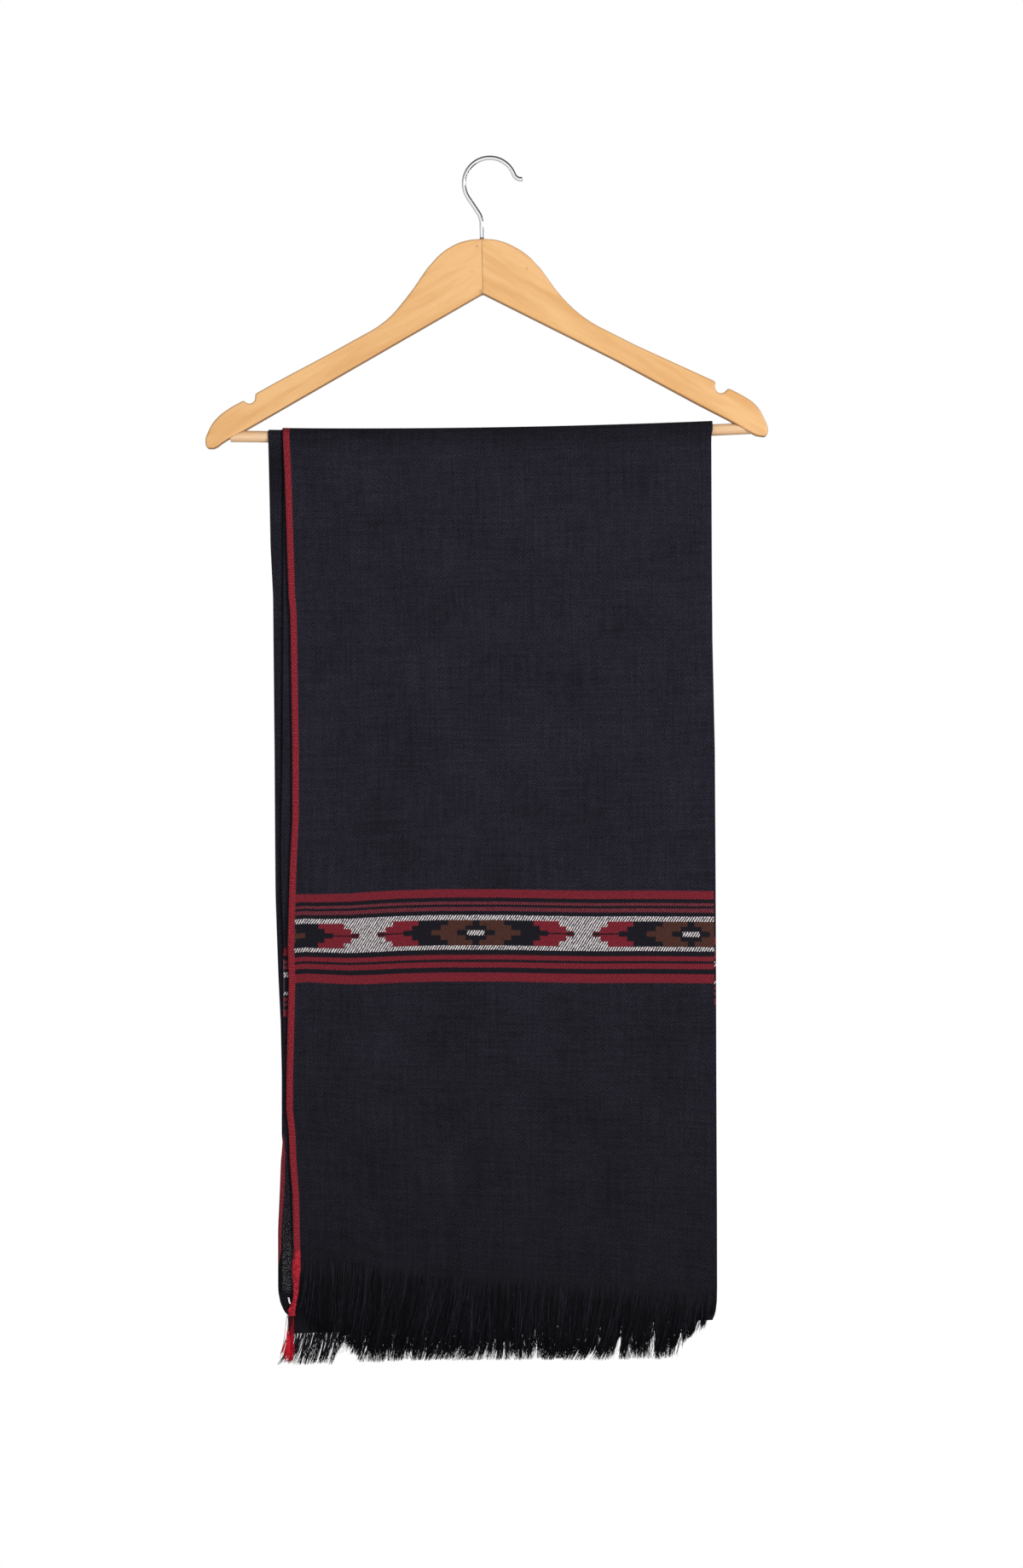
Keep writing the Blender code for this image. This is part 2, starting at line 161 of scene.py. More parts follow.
def placed(name, bm):
    """A shaped bmesh as an object of the scene."""
    mesh = bpy.data.meshes.new(name)
    bm.to_mesh(mesh)
    bm.free()
    made = bpy.data.objects.new(name, mesh)
    bpy.context.scene.collection.objects.link(made)
    return made


# The backdrop is plain white. The room that lights the object is white behind the camera, pale at the
# left and dark at the right and behind.
studio = bpy.data.worlds.new("white_studio")
bpy.context.scene.world = studio
studio.use_nodes = True
tree = studio.node_tree
towards = node(tree, "TexCoord").outputs["Generated"]
sideways, backwards, upwards = node(tree, "SeparateXYZ", {0: towards}).outputs
depth = maths(tree, "MULTIPLY_ADD", backwards, 0.5, 0.5)
room = ramp(tree, depth, grey_stops((0.1, 1.0), (0.3, 0.3), (0.46, 0.03), (1.0, 0.03)))
room = maths(tree, "MAXIMUM", room, mapped(tree, sideways, 0.25, -0.25, 0.0, 0.55))
room = maths(tree, "MULTIPLY", room, mapped(tree, upwards, 0.0, 0.7, 1.0, 0.12))
room_grey = node(tree, "CombineXYZ", {0: room, 1: room, 2: room}).outputs[0]
backdrop = maths(tree, "GREATER_THAN", backwards, 0.95)
seen = maths(tree, "MAXIMUM", backdrop, node(tree, "LightPath").outputs["Is Camera Ray"])
daylight = tree.nodes["Background"]
tree.links.new(blend(tree, seen, room_grey, (1, 1, 1, 1)), daylight.inputs["Color"])
daylight.inputs["Strength"].default_value = 1.0

bm = bmesh.new()
bmesh.ops.create_circle(bm, cap_ends=True, segments=96, radius=FLOOR_RADIUS)
bmesh.ops.translate(bm, verts=bm.verts, vec=(0, 0, -FLOOR_DOWN))
floor = placed("pale_floor", bm)
floor_look, surface, tree = finish("pale_floor", 0.8)
cast = noise(tree, solid_place(tree), 90)
grey = ramp(tree, cast, [(0.3, srgb(241, 240, 238)), (0.7, srgb(244, 243, 242))])
tree.links.new(grey, surface.inputs["Base Color"])
surface.inputs["Emission Color"].default_value = (1, 1, 1, 1)
surface.inputs["Emission Strength"].default_value = 0.2
floor.data.materials.append(floor_look)

# Hanger arms.
# Two flat arms of pale varnished hardwood, shaped on a router, meet in a comb joint under the hook.
# Their lower ends are rounded over the bar's ends. The grain runs along each arm.
ARM_SLOPE = math.radians(30.4)
VARNISHED, DULL_EDGE = 0.42, 0.85
PALE_WOOD = (243, 191, 129)
DEEP_WOOD = (230, 173, 108)
KNOT_BROWN = (120, 78, 44)
EDGE_SHADE_BROWN = (138, 88, 56)
# Small knots: mm right of and above the crown, mm in radius, and how dark.
LEFT_KNOTS = ((-9.8, -69.5, 1.3, 0.4), (-13.6, -89.8, 1.2, 0.2), (-6.5, -105.5, 2.2, 0.3))
RIGHT_KNOTS = ((29.8, -87.1, 1.3, 0.25), (60.0, -104.0, 1.0, 0.2))


def stretched(tree, place, scale):
    """Coordinates scaled by each axis, for a pattern that runs one way."""
    return node(tree, "Mapping", {"Vector": place, "Scale": scale}).outputs[0]


def raised(tree, surface, height, distance, strength=1.0):
    """Fine relief that the mesh is too coarse for."""
    bump = node(tree, "Bump", {"Height": height, "Distance": distance, "Strength": strength})
    tree.links.new(bump.outputs[0], surface.inputs["Normal"])


def wooden(name, slope, pale, deep, knots, edge_shade_share):
    """Varnished wood with its grain along a slope in the XZ plane.

    Its rims, away from the flat faces, are painted browner as shade by the given share, and made duller.
    """
    made, surface, tree = finish(name, VARNISHED)
    place = solid_place(tree)
    turned = node(tree, "Mapping", {"Vector": place, "Rotation": (0, slope, 0)}).outputs[0]
    streaks = noise(tree, stretched(tree, turned, (12, 110, 110)), 1.0, 3.0, 0.6)
    pores = noise(tree, stretched(tree, turned, (60, 1500, 1500)), 1.0, 2.0, 0.55)
    colour = ramp(tree, streaks, [(0.34, srgb(*deep)), (0.6, srgb(*pale))])
    pore_colour = ramp(tree, pores, [(0.28, (0.72, 0.62, 0.5, 1)), (0.48, (1, 1, 1, 1))])
    colour = blend(tree, 0.22, colour, pore_colour, "MULTIPLY")
    for x, z, radius, depth in knots:
        flat = node(tree, "VectorMath", {0: place, 1: (1, 0, 1)}, operation="MULTIPLY").outputs[0]
        centre = {0: flat, 1: (x * MM, 0, z * MM)}
        away = node(tree, "VectorMath", centre, operation="DISTANCE").outputs["Value"]
        spot = mapped(tree, away, radius * MM, radius * 0.4 * MM, interpolation_type="SMOOTHSTEP")
        colour = blend(tree, maths(tree, "MULTIPLY", spot, depth), colour, srgb(*KNOT_BROWN))
    # Painted shade: the rims, which face away from Y, are darkened towards a browner colour and made duller.
    facing = node(tree, "SeparateXYZ", {0: node(tree, "TexCoord").outputs["Normal"]}).outputs[1]
    edge_shade_and_dull = mapped(tree, maths(tree, "ABSOLUTE", facing), 0.96, 0.5)
    colour = blend(tree, maths(tree, "MULTIPLY", edge_shade_and_dull, edge_shade_share), colour, srgb(*EDGE_SHADE_BROWN))
    tree.links.new(colour, surface.inputs["Base Color"])
    tree.links.new(mapped(tree, edge_shade_and_dull, 0.0, 1.0, VARNISHED, DULL_EDGE), surface.inputs["Roughness"])
    surface.inputs["Coat Weight"].default_value = 0.06
    surface.inputs["Coat Roughness"].default_value = 0.3
    raised(tree, surface, pores, 0.00006, 0.4)
    return made


arm_woods = {
    "hanger_arm_left": wooden("beech_left", ARM_SLOPE, PALE_WOOD, DEEP_WOOD, LEFT_KNOTS, 0.6),
    "hanger_arm_right": wooden("beech_right", -ARM_SLOPE, PALE_WOOD, DEEP_WOOD, RIGHT_KNOTS, 0.6),
}
for arm_name, wood in arm_woods.items():
    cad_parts[arm_name].material_slots[0].material = wood

# Glue line.
# Where the two arms meet below the comb joint, a thin bead of glue has dried amber in the seam.
# It was squeezed out when the arms were clamped, so it's a little uneven along its length.
SEAM_LEFT, SEAM_RIGHT = -6.0 * MM, -5.2 * MM
SEAM_LOW, SEAM_HIGH = -107.6 * MM, -77.0 * MM
SEAM_DEEP = 8.0 * MM
SEAM_EDGE = 0.18 * MM
SEAM_MIDDLE = Vector(((SEAM_LEFT + SEAM_RIGHT) / 2, 0, (SEAM_LOW + SEAM_HIGH) / 2))

bm = bmesh.new()
bmesh.ops.create_cube(bm, size=1)
bmesh.ops.scale(bm, verts=bm.verts, vec=(SEAM_RIGHT - SEAM_LEFT, SEAM_DEEP, SEAM_HIGH - SEAM_LOW))
upright = [edge for edge in bm.edges if abs(edge.verts[0].co.z - edge.verts[1].co.z) > 10 * MM]
bmesh.ops.subdivide_edges(bm, edges=upright, cuts=38, use_grid_fill=True)
bmesh.ops.bevel(
    bm, geom=[edge for edge in bm.edges if edge.is_manifold and edge.calc_face_angle() > 1],
    affect="EDGES", offset=SEAM_EDGE, segments=3, profile=0.5, material=-1,
)
for vert in bm.verts:
    vert.co.y *= 1 + 0.02 * math.sin(vert.co.z * 900) + 0.015 * math.sin(vert.co.z * 2300 + 1)
bmesh.ops.translate(bm, verts=bm.verts, vec=SEAM_MIDDLE)
glue = placed("glue_line", bm)
amber, surface, tree = finish("dried_glue", 0.6)
clots = noise(tree, solid_place(tree), 700)
brown = ramp(tree, clots, [(0.3, srgb(140, 96, 56)), (0.7, srgb(186, 134, 84))])
tree.links.new(brown, surface.inputs["Base Color"])
glue.data.materials.append(amber)
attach(glue, "root")

# Trouser bar.
# A turned dowel of the same wood, a little paler, with its grain along it.
# It is glued into blind holes in the two arms, and the shawl's weight bends it a little.
BAR_PALE = (243, 204, 161)
BAR_DEEP = (230, 184, 138)
# Its top and bottom get a little of the same painted shade.
bar_wood = wooden("dowel_wood", 0.0, BAR_PALE, BAR_DEEP, (), 0.2)
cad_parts["trouser_bar"].material_slots[0].material = bar_wood

# Hook.
# Chromed steel wire, bent to a crown with a flared tip, and driven into the joint of the arms.
TILT = math.radians(0.9)
WIRE_RADIUS = 1.75 * MM
CROWN_RADIUS = 20.5 * MM
FLARE_RADIUS = 6 * MM
KNEE_RADIUS = 18 * MM
SHANK = 13.6 * MM
STEM_FOOT = -77.2 * MM


def bend(point, heading, radius, turn, steps):
    """Points along an arc that starts at a point with a heading; a positive turn is anticlockwise."""
    side = math.copysign(1, turn)
    points = []
    for step in range(1, steps + 1):
        now = heading + turn * step / steps
        across = side * radius * (math.sin(now) - math.sin(heading))
        up = -side * radius * (math.cos(now) - math.cos(heading))
        points.append((point[0] + across, point[1] + up))
    return points, heading + turn


def drawn_tubes(name, lines, sides, looks, shades=()):
    """Round wires or threads along lines of (x, y, z, radius), as one mesh; shades number their looks."""
    curve = bpy.data.curves.new(name, "CURVE")
    curve.dimensions = "3D"
    curve.bevel_depth = 1.0
    curve.bevel_resolution = sides
    curve.use_fill_caps = True
    for look in looks:
        curve.materials.append(look)
    for number, line in enumerate(lines):
        spline = curve.splines.new("POLY")
        spline.material_index = shades[number] if shades else 0
        spline.points.add(len(line) - 1)
        spline.points.foreach_set("co", [v for x, y, z, _ in line for v in (x, y, z, 1)])
        spline.points.foreach_set("radius", [point[3] for point in line])
    guide = bpy.data.objects.new(name + "_guide", curve)
    bpy.context.scene.collection.objects.link(guide)
    bpy.context.view_layer.update()
    mesh = bpy.data.meshes.new_from_object(guide.evaluated_get(bpy.context.evaluated_depsgraph_get()))
    bpy.data.objects.remove(guide, do_unlink=True)
    mesh.name = name
    bm = bmesh.new()
    bm.from_mesh(mesh)
    bmesh.ops.remove_doubles(bm, verts=bm.verts, dist=0.000001)
    bmesh.ops.recalc_face_normals(bm, faces=bm.faces)
    bm.to_mesh(mesh)
    bm.free()
    mesh.shade_smooth()
    made = bpy.data.objects.new(name, mesh)
    bpy.context.scene.collection.objects.link(made)
    return made


crown = (0.0, WIRE_RADIUS)
right, heading = bend(crown, 0, CROWN_RADIUS, math.radians(-70), 24)
flare, _ = bend(right[-1], heading, FLARE_RADIUS, math.radians(80), 12)
left, heading = bend(crown, math.pi, CROWN_RADIUS, math.radians(123), 36)
corner = (left[-1][0] + SHANK * math.cos(heading), left[-1][1] + SHANK * math.sin(heading))
knee, _ = bend(corner, heading, KNEE_RADIUS, math.radians(-33), 10)
flat_route = list(reversed(right + flare)) + [crown] + left + [corner] + knee + [(knee[-1][0], STEM_FOOT)]
lean = Matrix.Rotation(-TILT, 3, "Y")
hook_line = [(*(lean @ Vector((x, 0, z))), WIRE_RADIUS) for x, z in flat_route]
chrome, surface, tree = finish("bright_chrome", 0.06)
surface.inputs["Metallic"].default_value = 1.0
surface.inputs["Base Color"].default_value = srgb(250, 251, 253)
surface.inputs["Specular Tint"].default_value = (0.5, 0.51, 0.54, 1)
haze = noise(tree, stretched(tree, solid_place(tree), (500, 500, 60)), 1.0)
tree.links.new(mapped(tree, haze, 0.0, 1.0, 0.03, 0.1), surface.inputs["Roughness"])
raised(tree, surface, haze, 0.000004, 0.2)
hook = drawn_tubes("chrome_hook", [hook_line], 8, [chrome])
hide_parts("hook")
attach(hook, "root")

# Outer layer of the shawl.
# One length of fine dark wool twill with a red selvedge and a tapestry border woven across each end.
# It hangs in front, runs over the bar and down behind to the fold at the shawl's mid-length.
BAR_DOWN = 216.6 * MM
BAR_RIGHT = 207 * MM
BAR_SAG = 3.2 * MM
SWAY = 1.1 * MM
CLOTH = 0.3 * MM
OUTER_RADIUS = 7.1 * MM
QUARTER_WIDTH = 343 * MM
UV_WIDTH = 0.36
UV_LENGTH = 1.44
BACK_DOWN = 888 * MM
FOLD_RADIUS = 1.5 * MM
BACK_TURN_IN = 8 * MM
SWING_TOP = 260 * MM
SWING_LONG = 650 * MM
EDGE_LIFT = 0.9 * MM

# Each pair is mm below the crown, and mm left or right of it.
SELVEDGE = (
    (205, -164.6), (212, -164.6), (252.4, -162.7), (347.3, -159.6), (360.8, -158.3), (469.2, -156.6),
    (523.4, -156.6), (557.3, -158.3), (591.2, -159.4), (625.1, -160.3), (652.2, -159.4), (726.7, -161.2),
    (753.8, -161.4), (774.1, -159.3), (794.4, -158.6), (821.5, -156.5), (848.6, -155.9), (869.6, -155.4),
    (880.5, -156.4), (896, -155.8),
)
RIGHT_FOLD = (
    (205, 178.0), (208.4, 178.0), (220.6, 175.8), (332.4, 176.3), (470, 177.4), (550, 177.8),
    (625, 178.0), (727, 178.4), (840, 178.9), (934, 179.2),
)
# Hems and the border's upper edge: mm across, mm below the crown.
FRONT_HEM = (
    (-165, 872), (-150, 873.6), (-110, 876), (-98, 880.5), (-87, 885), (-42, 888.5), (-10, 892), (54, 896),
    (117, 900), (153, 902), (180, 907),
)
BORDER_TOP = (
    (-156, 581.2), (-146, 580.2), (-131, 581.0), (-110, 582.0), (-90, 581.6), (-70, 580.6), (-38, 579.8),
    (12, 579.8), (53, 580.6), (84, 581.0), (124, 580.8), (175, 581.2),
)
BORDER_PINCH = ((-156, 3.2), (-140, 3.4), (-125, 2.2), (-105, 0.8), (-90, 0))
BORDER_BASE = 231.5 * MM
BORDER_TALL = 73.2 * MM
DROP_LONG = 664.6 * MM
# Soft troughs and ridges: mm across and down at both ends, mm wide, mm deep; a ridge is positive.
FRONT_CREASES = (
    ((152, 250), (170, 880), 10, 0.55), ((-148, 400), (-142, 760), 13, 0.5), ((84, 240), (80, 560), 7, -0.3),
    ((-70, 640), (-44, 870), 20, 0.6), ((22, 610), (34, 880), 15, -0.5), ((100, 540), (178, 548), 9, -0.4),
    ((-20, 300), (-34, 520), 24, 0.45), ((110, 650), (120, 900), 16, 0.5),
    ((-110, 700), (-120, 870), 11, -0.45), ((60, 700), (72, 895), 9, 0.35),
    ((-150, 860), (-60, 862), 7, 0.35), ((130, 330), (122, 520), 18, -0.4),
)
BACK_CREASES = (
    ((-120, 260), (-128, 860), 14, 0.6), ((-60, 300), (-30, 880), 20, -0.7), ((10, 260), (26, 700), 12, 0.5),
    ((70, 330), (60, 880), 22, 0.8), ((120, 250), (140, 880), 12, -0.6), ((-160, 560), (-40, 566), 9, 0.35),
    ((40, 720), (170, 728), 10, -0.4),
)


def read(table, key):
    """A table's value at a key, straight between its rows; the table is in mm, the rest in metres."""
    keys, values = zip(*table)
    return float(np.interp(key / MM, keys, values)) * MM


def bar_middle(x):
    """How far below the crown the bar's middle is."""
    return BAR_DOWN - x * math.tan(TILT) + BAR_SAG * (1 - (x / BAR_RIGHT) ** 2)


def crease(x, down, creases):
    """Height of the listed troughs and ridges at a point."""
    total = 0.0
    for (x0, down0), (x1, down1), wide, deep in creases:
        along = Vector((x1 - x0, down1 - down0))
        away = Vector((x / MM - x0, down / MM - down0))
        share = away.dot(along) / along.length_squared
        if -0.25 < share < 1.25:
            off = (away - along * share).length / wide
            fade = math.cos(math.pi / 2 * min(1.0, abs(share - 0.5) / 0.75)) ** 1.5
            total += deep * MM * fade * math.exp(-off * off)
    return total


def swing(x, down, side):
    """How far a hanging layer stands out from the side of the bar."""
    fall = max(0.0, min(1.0, (down - SWING_TOP) / SWING_LONG))
    wave = math.sin(x * 21 + 0.7 * side) + 0.6 * math.sin(x * 47 + 3.1 * down + side)
    ripple = 0.16 * math.sin(x * 96 + 9 * down) + 0.12 * math.sin(x * 37 - 16 * down + 2)
    creases = FRONT_CREASES if side < 0 else BACK_CREASES
    return fall * SWAY / 1.6 * (wave + ripple) + crease(x, down, creases)


def hanging(x, down, side, radius):
    """A point of a layer that hangs before the bar, side -1, or behind it, side 1."""
    return Vector((x, side * (radius + swing(x, down, side)), -down))


def over_bar(x, angle, radius):
    """A point of a layer over the bar; the angle runs from the front over the top to the back."""
    return Vector((x, -radius * math.cos(angle), -bar_middle(x) + radius * math.sin(angle)))


def front_down(x, run):
    """How far down the cloth is at a run from its hem; the border lies on its own line."""
    top = read(BORDER_TOP, x)
    runs = (0, BORDER_BASE, BORDER_BASE + BORDER_TALL, DROP_LONG)
    levels = (read(FRONT_HEM, x), top + BORDER_TALL, top + read(BORDER_PINCH, x), bar_middle(x))
    return float(np.interp(run, runs, levels))


def back_down(x, run):
    """The same behind the bar, for a run from 0 to 1 down to the fold at mid-length."""
    low = BACK_DOWN - x * math.tan(TILT)
    return float(np.interp(run, (0, 1), (bar_middle(x), low)))


def lifted(share):
    """How far the free selvedge stands off the layers behind it."""
    return EDGE_LIFT * math.exp(-share / 0.02)


def outer_point(share, part, level):
    """A point of the outer layer: its share of the way from the selvedge, and where it is along its run."""
    # Across and down depend on each other, so a rough start is mended three times.
    x = -160 * MM + share * QUARTER_WIDTH
    for _ in range(3):
        if part == "front":
            down = front_down(x, level)
        elif part == "turn":
            down = bar_middle(x)
        else:
            down = back_down(x, level)
        x = read(SELVEDGE, down) * (1 - share) + read(RIGHT_FOLD, down) * share
    # Over the bar the cloth lies tight, and the free edge hardly lifts.
    radius = OUTER_RADIUS + lifted(share) * min(1.0, max(0.15, (down - bar_middle(x)) / 0.05))
    if part == "front":
        return hanging(x, down, -1, radius)
    if part == "turn":
        return over_bar(x, level * math.pi, radius)
    if part == "back":
        return hanging(x, down, 1, radius)
    foot = hanging(x, back_down(x, 1.0), 1, OUTER_RADIUS + lifted(share))
    angle = min(level, 1.0) * math.pi
    rise = max(0.0, level - 1.0) * BACK_TURN_IN
    return foot + Vector((0, FOLD_RADIUS * (math.cos(angle) - 1), rise - FOLD_RADIUS * math.sin(angle)))


def cloth_grid(name, columns, rows, place, look, width=UV_WIDTH, gap=None):
    """A woven sheet of columns by rows, each point placed by its numbers, with its own UV map."""
    bm = bmesh.new()
    made_uv = bm.loops.layers.uv.new("weave")
    bmesh.ops.create_grid(bm, x_segments=columns, y_segments=rows, size=1, calc_uvs=False)
    spots = {}
    for vert in bm.verts:
        column = round((vert.co.x + 1) / 2 * columns)
        row = round((vert.co.y + 1) / 2 * rows)
        spots[vert] = place(column, row)
    for face in bm.faces:
        for loop in face.loops:
            _, across, along = spots[loop.vert]
            loop[made_uv].uv = (across / width, along / UV_LENGTH)
    for vert, (spot, _, _) in spots.items():
        vert.co = spot
    if gap:
        open_faces = [face for face in bm.faces if gap(face.calc_center_median())]
        bmesh.ops.delete(bm, geom=open_faces, context="FACES")
    made = placed(name, bm)
    made.data.shade_smooth()
    made.data.materials.append(look)
    body = made.modifiers.new("cloth_thickness", "SOLIDIFY")
    body.thickness = CLOTH
    body.offset = 0
    return made


# Where the border's stripes end, as mm from its top, and their yarn; the motifs lie at "pattern".
STRIPES = (
    (6.3, "red"), (9.5, "black"), (12.0, "thin red"), (13.9, "black"), (16.9, "thin red"),
    (20.2, "black"), (24.3, "white"), (44.4, "pattern"), (47.7, "white"), (51.8, "black"), (55.6, "red"),
    (57.5, "black"), (61.8, "red"), (66.0, "black"), (73.2, "red"),
)
# Charted from the middle of a white hourglass to the middle of a brown diamond, mm.
MOTIF_ROWS = (
    ((19.2, "white"), (39.5, "red"), (62.7, "black"), (82.4, "brown"), (85.4, "black")),
    ((13.5, "white"), (34.6, "red"), (57.1, "black"), (76.9, "brown"), (85.4, "black")),
    ((7.1, "white"), (13.0, "deep red"), (27.8, "red"), (49.8, "black"), (70.2, "brown"), (85.4, "black")),
)
CHART_LONG = 85.35
MOTIF_HALF = 86.57
MOTIF_START = 65.05
MOTIF_TOP, MOTIF_TALL = 24.3, 20.1
# Shares of the motif's height on each side of its middle, and how far along the marks reach.
SECOND_ROW, MIDDLE_ROW = 0.29, 0.105
DASH_HALF, DASH_FROM = 0.1, 0.92
SLIT_HALF, SLIT_FROM, SLIT_TO = 0.028, 0.085, 0.33
# The twill's ribs: mm apart along a pick, and mm across for each mm of rise.
RIB_PITCH, RIB_LEAN = 2.07, 0.62
# Mm along the cloth from its hem to the top of the bar, and mm across the red selvedge.
BAR_TOP_RUN, SELVEDGE_WIDE = 675.8, 5.7
SELVEDGE_REDS = ((0.34, srgb(84, 18, 26)), (0.5, srgb(128, 33, 43)), (0.64, srgb(158, 58, 68)))
UPPER_YARN = {
    "white": srgb(240, 232, 231), "red": srgb(134, 41, 52), "thin red": srgb(128, 55, 65),
    "deep red": srgb(92, 30, 40), "brown": srgb(88, 54, 45), "black": srgb(30, 28, 36),
}
LOWER_YARN = {
    "white": srgb(52, 48, 57), "red": srgb(99, 29, 39), "thin red": srgb(78, 33, 43),
    "deep red": srgb(64, 24, 33), "brown": srgb(61, 38, 34), "black": srgb(22, 21, 27),
}


def between(tree, value, low, high):
    """1 where a value lies between two limits, and 0 elsewhere."""
    above = maths(tree, "GREATER_THAN", value, low)
    return maths(tree, "MULTIPLY", above, maths(tree, "LESS_THAN", value, high))


def centred(tree, value, reach):
    """Random values from 0 to 1 moved to lie about zero, over a reach."""
    return maths(tree, "MULTIPLY", maths(tree, "SUBTRACT", value, 0.5), reach)


def charted(tree, value, rows, long, yarns):
    """Colour along a chart whose rows give where each yarn ends; the motifs' ground is white."""
    stops, start = [], 0.0
    for end, yarn in rows:
        stops.append((start / long, yarns.get(yarn, yarns["white"])))
        start = end
    return ramp(tree, value, stops, "CONSTANT")


def lozenges(tree, level, across, wander, sides):
    """The row of stepped lozenges and hourglasses over the stripes, once in each side's yarns."""
    motif = maths(tree, "DIVIDE", maths(tree, "SUBTRACT", level, MOTIF_TOP), MOTIF_TALL)
    in_motif = between(tree, motif, 0, 1)
    step = maths(tree, "ADD", across, MOTIF_HALF * 3 - MOTIF_START)
    folded = maths(tree, "SUBTRACT", maths(tree, "MODULO", step, MOTIF_HALF * 2), MOTIF_HALF)
    reach = maths(tree, "ADD", maths(tree, "ABSOLUTE", folded), wander)
    reach = maths(tree, "DIVIDE", reach, MOTIF_HALF)
    from_middle = maths(tree, "ABSOLUTE", maths(tree, "SUBTRACT", motif, 0.5))
    second_row, middle_row, dash, slit = (
        maths(tree, "LESS_THAN", from_middle, half) for half in (SECOND_ROW, MIDDLE_ROW, DASH_HALF, SLIT_HALF)
    )
    dash = maths(tree, "MULTIPLY", dash, maths(tree, "GREATER_THAN", reach, DASH_FROM))
    slit = maths(tree, "MULTIPLY", slit, between(tree, reach, SLIT_FROM, SLIT_TO))
    laid = []
    for stripes, yarns in zip(sides, (LOWER_YARN, UPPER_YARN)):
        rows = [charted(tree, reach, row, CHART_LONG, yarns) for row in MOTIF_ROWS]
        pattern = blend(tree, second_row, rows[0], rows[1])
        pattern = blend(tree, middle_row, pattern, rows[2])
        pattern = blend(tree, dash, pattern, yarns["white"])
        pattern = blend(tree, slit, pattern, yarns["black"])
        laid.append(blend(tree, in_motif, stripes, pattern))
    return laid


def woven(name, upper, lower, red_edge, border_top, stripes_table, width):
    """Dark twill with a selvedge and the border, on the sheet's own UV map in mm; with its coordinates."""
    made, surface, tree = finish(name, 0.88)
    flat = node(tree, "UVMap", uv_map="weave").outputs[0]
    place = stretched(tree, flat, (width / MM, UV_LENGTH / MM, 1))
    across, along, _ = node(tree, "SeparateXYZ", {0: place}).outputs

    # The twill's ribs rise steeply to the right and are a little uneven.
    drift = centred(tree, noise(tree, place, 0.22, 3), 1.5)
    diagonal = maths(tree, "ADD", maths(tree, "MULTIPLY_ADD", along, -RIB_LEAN, across), drift)
    rib = maths(tree, "SINE", maths(tree, "MULTIPLY", diagonal, math.tau / RIB_PITCH))
    speckle = noise(tree, place, 0.95, 2.5, 0.7)
    grain = maths(tree, "ADD", maths(tree, "MULTIPLY", rib, 0.09), speckle)

    # Ground: two dark yarns spun together, cloudy with wear, bluer and lighter towards the bar.
    fall = maths(tree, "POWER", mapped(tree, along, 0.0, 420.0), 0.5)
    ground = blend(tree, fall, srgb(*lower), srgb(*upper))
    clouds = noise(tree, place, 0.018, 3, 0.6)
    picks = noise(tree, stretched(tree, place, (0.02, 0.5, 1)), 1.0, 3)
    ends = noise(tree, stretched(tree, place, (0.5, 0.02, 1)), 1.0, 3)
    slubs = maths(tree, "ADD", picks, maths(tree, "ADD", ends, noise(tree, place, 0.16, 3, 0.7)))
    slubs = maths(tree, "ADD", slubs, clouds)
    ground = blend(tree, 1.0, ground, mapped(tree, slubs, 1.5, 2.5, 0.58, 1.42), "MULTIPLY")
    shade = ramp(tree, mapped(tree, grain, 0.36, 0.64), [
        (0.0, (0.4, 0.39, 0.38, 1)), (0.5, (0.95, 0.95, 0.95, 1)), (1.0, (1.7, 1.7, 1.76, 1)),
    ])
    colour = blend(tree, 1.0, ground, shade, "MULTIPLY")
    # Painted shade: the cloth is darkened where it turns over the top of the bar.
    from_bar = maths(tree, "ABSOLUTE", maths(tree, "SUBTRACT", along, BAR_TOP_RUN))
    colour = blend(tree, mapped(tree, from_bar, 24.0, 12.0, 0.0, 0.3), colour, (0, 0, 0, 1))

    # Border: its edges step from rib to rib. The dark warp shows between the ribs of coloured weft, more
    # where the weft is loosely packed.
    wander = centred(tree, noise(tree, place, 0.9, 3), 1.25)
    toothed = maths(tree, "MULTIPLY_ADD", rib, 0.3, wander)
    level = maths(tree, "SUBTRACT", border_top, maths(tree, "ADD", along, toothed))
    long = stripes_table[-1][0]
    share = maths(tree, "DIVIDE", level, long)
    inside = maths(tree, "LESS_THAN", across, QUARTER_WIDTH / MM + 12)
    inside = maths(tree, "MULTIPLY", inside, between(tree, share, 0, 1))
    packing = maths(tree, "MULTIPLY", noise(tree, place, 0.42, 1), 1.6)
    packing = maths(tree, "MULTIPLY_ADD", speckle, 1.1, packing)
    hatch = mapped(tree, maths(tree, "MULTIPLY_ADD", rib, 0.7, packing), 1.28, 1.9)
    sides = [charted(tree, share, stripes_table, long, yarns) for yarns in (LOWER_YARN, UPPER_YARN)]
    if red_edge:
        sides = lozenges(tree, level, across, wander, sides)
    colour = blend(tree, inside, colour, blend(tree, hatch, *sides))

    # Selvedge: red wefts beaten close, with a painted shadow line along the very edge.
    if red_edge:
        edge = maths(tree, "ADD", across, maths(tree, "MULTIPLY", wander, 0.5))
        beat = maths(tree, "SINE", maths(tree, "MULTIPLY", along, math.tau / 1.9))
        worn = maths(tree, "ADD", maths(tree, "MULTIPLY", beat, 0.04), speckle)
        inner = maths(tree, "LESS_THAN", edge, red_edge)
        colour = blend(tree, inner, colour, ramp(tree, worn, SELVEDGE_REDS))
        colour = blend(tree, maths(tree, "LESS_THAN", across, 0.45), colour, srgb(22, 12, 16))
    tree.links.new(colour, surface.inputs["Base Color"])
    surface.inputs["Sheen Weight"].default_value = 0.02
    surface.inputs["Sheen Roughness"].default_value = 0.5
    surface.inputs["Specular IOR Level"].default_value = 0.08
    raised(tree, surface, grain, 0.00025, 0.6)
    return made, surface, tree, colour, across, along, speckle


